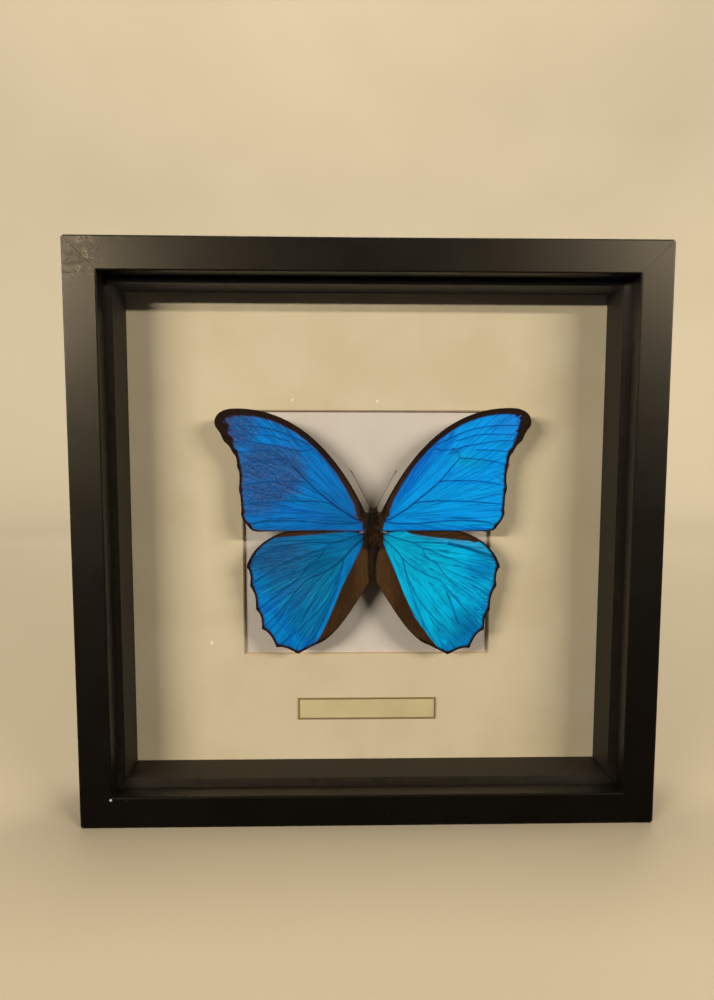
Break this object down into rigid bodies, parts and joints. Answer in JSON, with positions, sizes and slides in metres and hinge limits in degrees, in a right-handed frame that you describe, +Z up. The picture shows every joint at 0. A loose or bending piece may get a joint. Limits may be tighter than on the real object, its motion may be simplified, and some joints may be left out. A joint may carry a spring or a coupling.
{
  "type": "framed butterfly specimen",
  "caption": "Square black box frame with glass, a sand-coloured mat with a square window, a blank label and a spread blue butterfly mounted in the air space.",
  "frame": {"origin": "middle of the frame's lower edge, on the surface that it stands on", "axes": "+Z up along the frame's height, +X to the right across its width, the glass faces -Y and the back board +Y"},
  "size_m": [0.25, 0.045, 0.25],
  "materials": {
    "black_frame": "satin black paint over fibreboard",
    "black_spacer": "matt black paint",
    "glass": "clear, polished",
    "mat_board": "uncoated, fine tooth",
    "pale_card": "uncoated",
    "label_paper": "uncoated, thin border line",
    "foam_block": "fine closed-cell foam",
    "hardboard": "pressed fibre, smooth",
    "zinc_steel": "zinc plated",
    "chitin": "dark brown, furred",
    "wing_blue": "scaled, metallic blue with dark brown borders"
  },
  "bodies": {
    "root": {"frame_rail_top": "black_frame", "frame_rail_bottom": "black_frame", "frame_rail_left": "black_frame", "frame_rail_right": "black_frame", "spacer_top": "black_spacer", "spacer_bottom": "black_spacer", "spacer_left": "black_spacer", "spacer_right": "black_spacer", "glass_pane": "glass", "mat_board": "mat_board", "window_card": "pale_card", "specimen_label": "label_paper", "mounting_block": "foam_block", "backing_board": "hardboard", "sawtooth_hanger": "zinc_steel", "hanger_rivet_left": "zinc_steel", "hanger_rivet_right": "zinc_steel", "retaining_tab_top_1": "zinc_steel", "retaining_tab_top_2": "zinc_steel", "retaining_tab_bottom_1": "zinc_steel", "retaining_tab_bottom_2": "zinc_steel", "retaining_tab_left_1": "zinc_steel", "retaining_tab_left_2": "zinc_steel", "retaining_tab_right_1": "zinc_steel", "retaining_tab_right_2": "zinc_steel", "butterfly_body": "chitin", "antenna_left": "chitin", "antenna_right": "chitin", "forewing_left": "wing_blue", "forewing_right": "wing_blue", "hindwing_left": "wing_blue", "hindwing_right": "wing_blue"}
  },
  "joints": []
}
